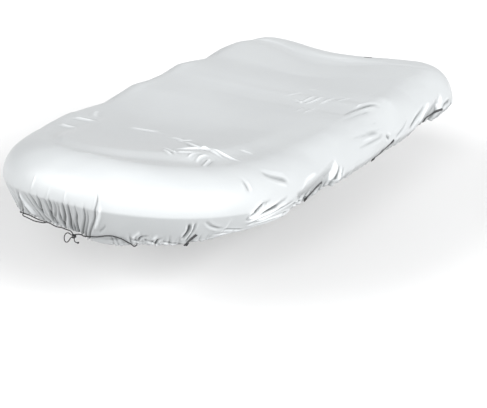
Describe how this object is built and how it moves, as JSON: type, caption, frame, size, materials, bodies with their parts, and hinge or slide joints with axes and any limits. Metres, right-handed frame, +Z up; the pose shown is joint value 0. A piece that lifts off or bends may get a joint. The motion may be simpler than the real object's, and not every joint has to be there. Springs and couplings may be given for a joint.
{
  "type": "boat cover",
  "caption": "Fitted cover for a small inflatable boat: one coated cloth with a gathered hem, a draw cord tied at the bow, side webbing and an open underside.",
  "frame": {"origin": "underside of the top panel, halfway along the cover and on its centre line", "axes": "+Y towards the stern, +X to port, +Z up"},
  "size_m": [1.9006, 3.6011, 0.545],
  "materials": {
    "silver_cloth": "woven polyester with a pale silver coating, soft sheen",
    "black_cord": "braided black polyester cord, matte",
    "black_webbing": "black woven webbing, matte",
    "black_plastic": "black moulded plastic, satin"
  },
  "bodies": {
    "root": {"cover_cloth": "silver_cloth", "draw_cord_port": "black_cord", "draw_cord_starboard": "black_cord", "bow_hem_cord": "black_cord", "bow_knot": "black_cord", "bow_cord_loop": "black_cord", "bow_cord_tail": "black_cord", "tail_knot": "black_cord", "strap_port_1": "black_webbing", "strap_port_2": "black_webbing", "strap_port_3": "black_webbing", "strap_port_4": "black_webbing", "strap_starboard_1": "black_webbing", "strap_starboard_2": "black_webbing", "strap_starboard_3": "black_webbing", "strap_starboard_4": "black_webbing", "stern_tab": "black_webbing", "buckle_port_1": "black_plastic", "buckle_port_2": "black_plastic", "buckle_port_3": "black_plastic", "buckle_port_4": "black_plastic", "buckle_starboard_1": "black_plastic", "buckle_starboard_2": "black_plastic", "buckle_starboard_3": "black_plastic", "buckle_starboard_4": "black_plastic"}
  },
  "joints": []
}
